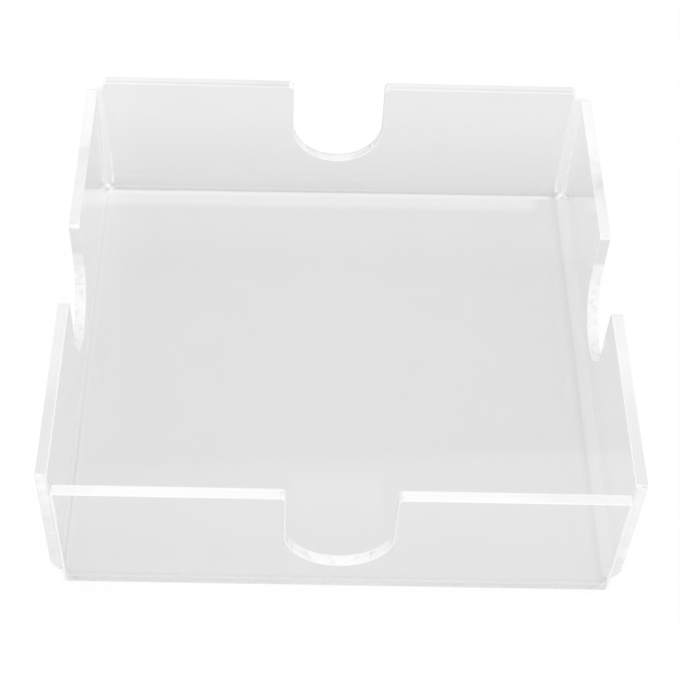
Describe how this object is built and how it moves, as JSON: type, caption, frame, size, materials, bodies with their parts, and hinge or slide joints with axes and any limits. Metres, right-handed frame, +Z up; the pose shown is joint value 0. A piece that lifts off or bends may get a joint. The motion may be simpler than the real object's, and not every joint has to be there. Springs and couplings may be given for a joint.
{
  "type": "napkin holder",
  "caption": "Open square napkin tray of clear sheet: flat floor, upright walls with a rounded bend along the foot, and a thumb notch in the rim of each wall.",
  "frame": {"origin": "middle of the underside, where the tray rests on the table", "axes": "+Z up to the rim, +X to the right wall, -Y to the front wall"},
  "size_m": [0.148, 0.148, 0.043],
  "materials": {
    "clear_floor": "clear cast acrylic, polished",
    "clear_wall": "clear cast acrylic, polished faces with pale sawn and flamed edges"
  },
  "bodies": {
    "root": {"floor_panel": "clear_floor", "front_wall": "clear_wall", "back_wall": "clear_wall", "left_wall": "clear_wall", "right_wall": "clear_wall"}
  },
  "joints": []
}
